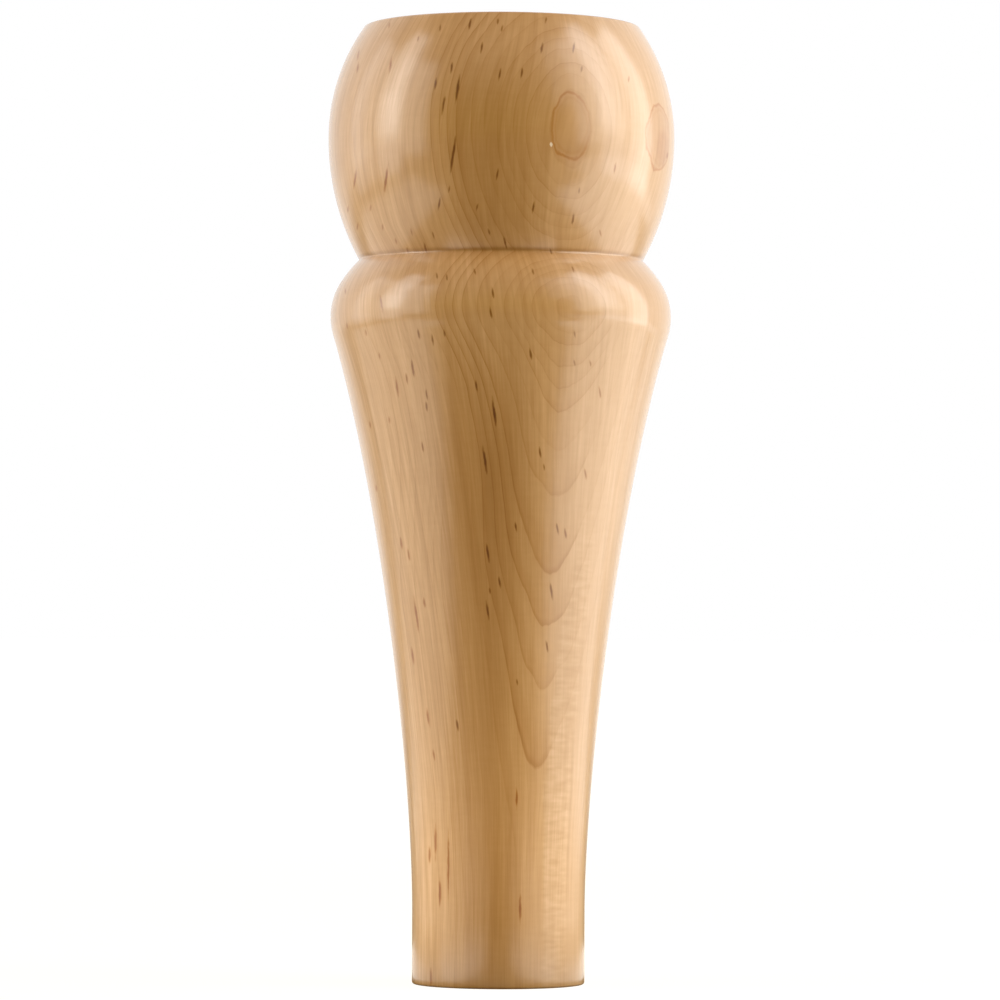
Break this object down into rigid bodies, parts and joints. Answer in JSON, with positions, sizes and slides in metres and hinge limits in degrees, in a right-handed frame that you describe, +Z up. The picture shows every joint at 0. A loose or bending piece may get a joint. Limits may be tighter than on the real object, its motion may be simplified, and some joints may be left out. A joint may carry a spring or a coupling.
{
  "type": "tapered bun foot",
  "caption": "Turned hardwood furniture foot: a flat-topped bulb, a narrow groove and a domed shoulder over a long hollow taper to a straight ankle.",
  "frame": {"origin": "centre of the flat base that stands on the floor", "axes": "+Z up along the turning axis towards the wide top face; X and Y are across the foot"},
  "size_m": [0.089, 0.089, 0.2457],
  "materials": {
    "maple": "clear satin lacquer over sanded natural maple"
  },
  "bodies": {
    "root": {"turned_foot": "maple"}
  },
  "joints": []
}
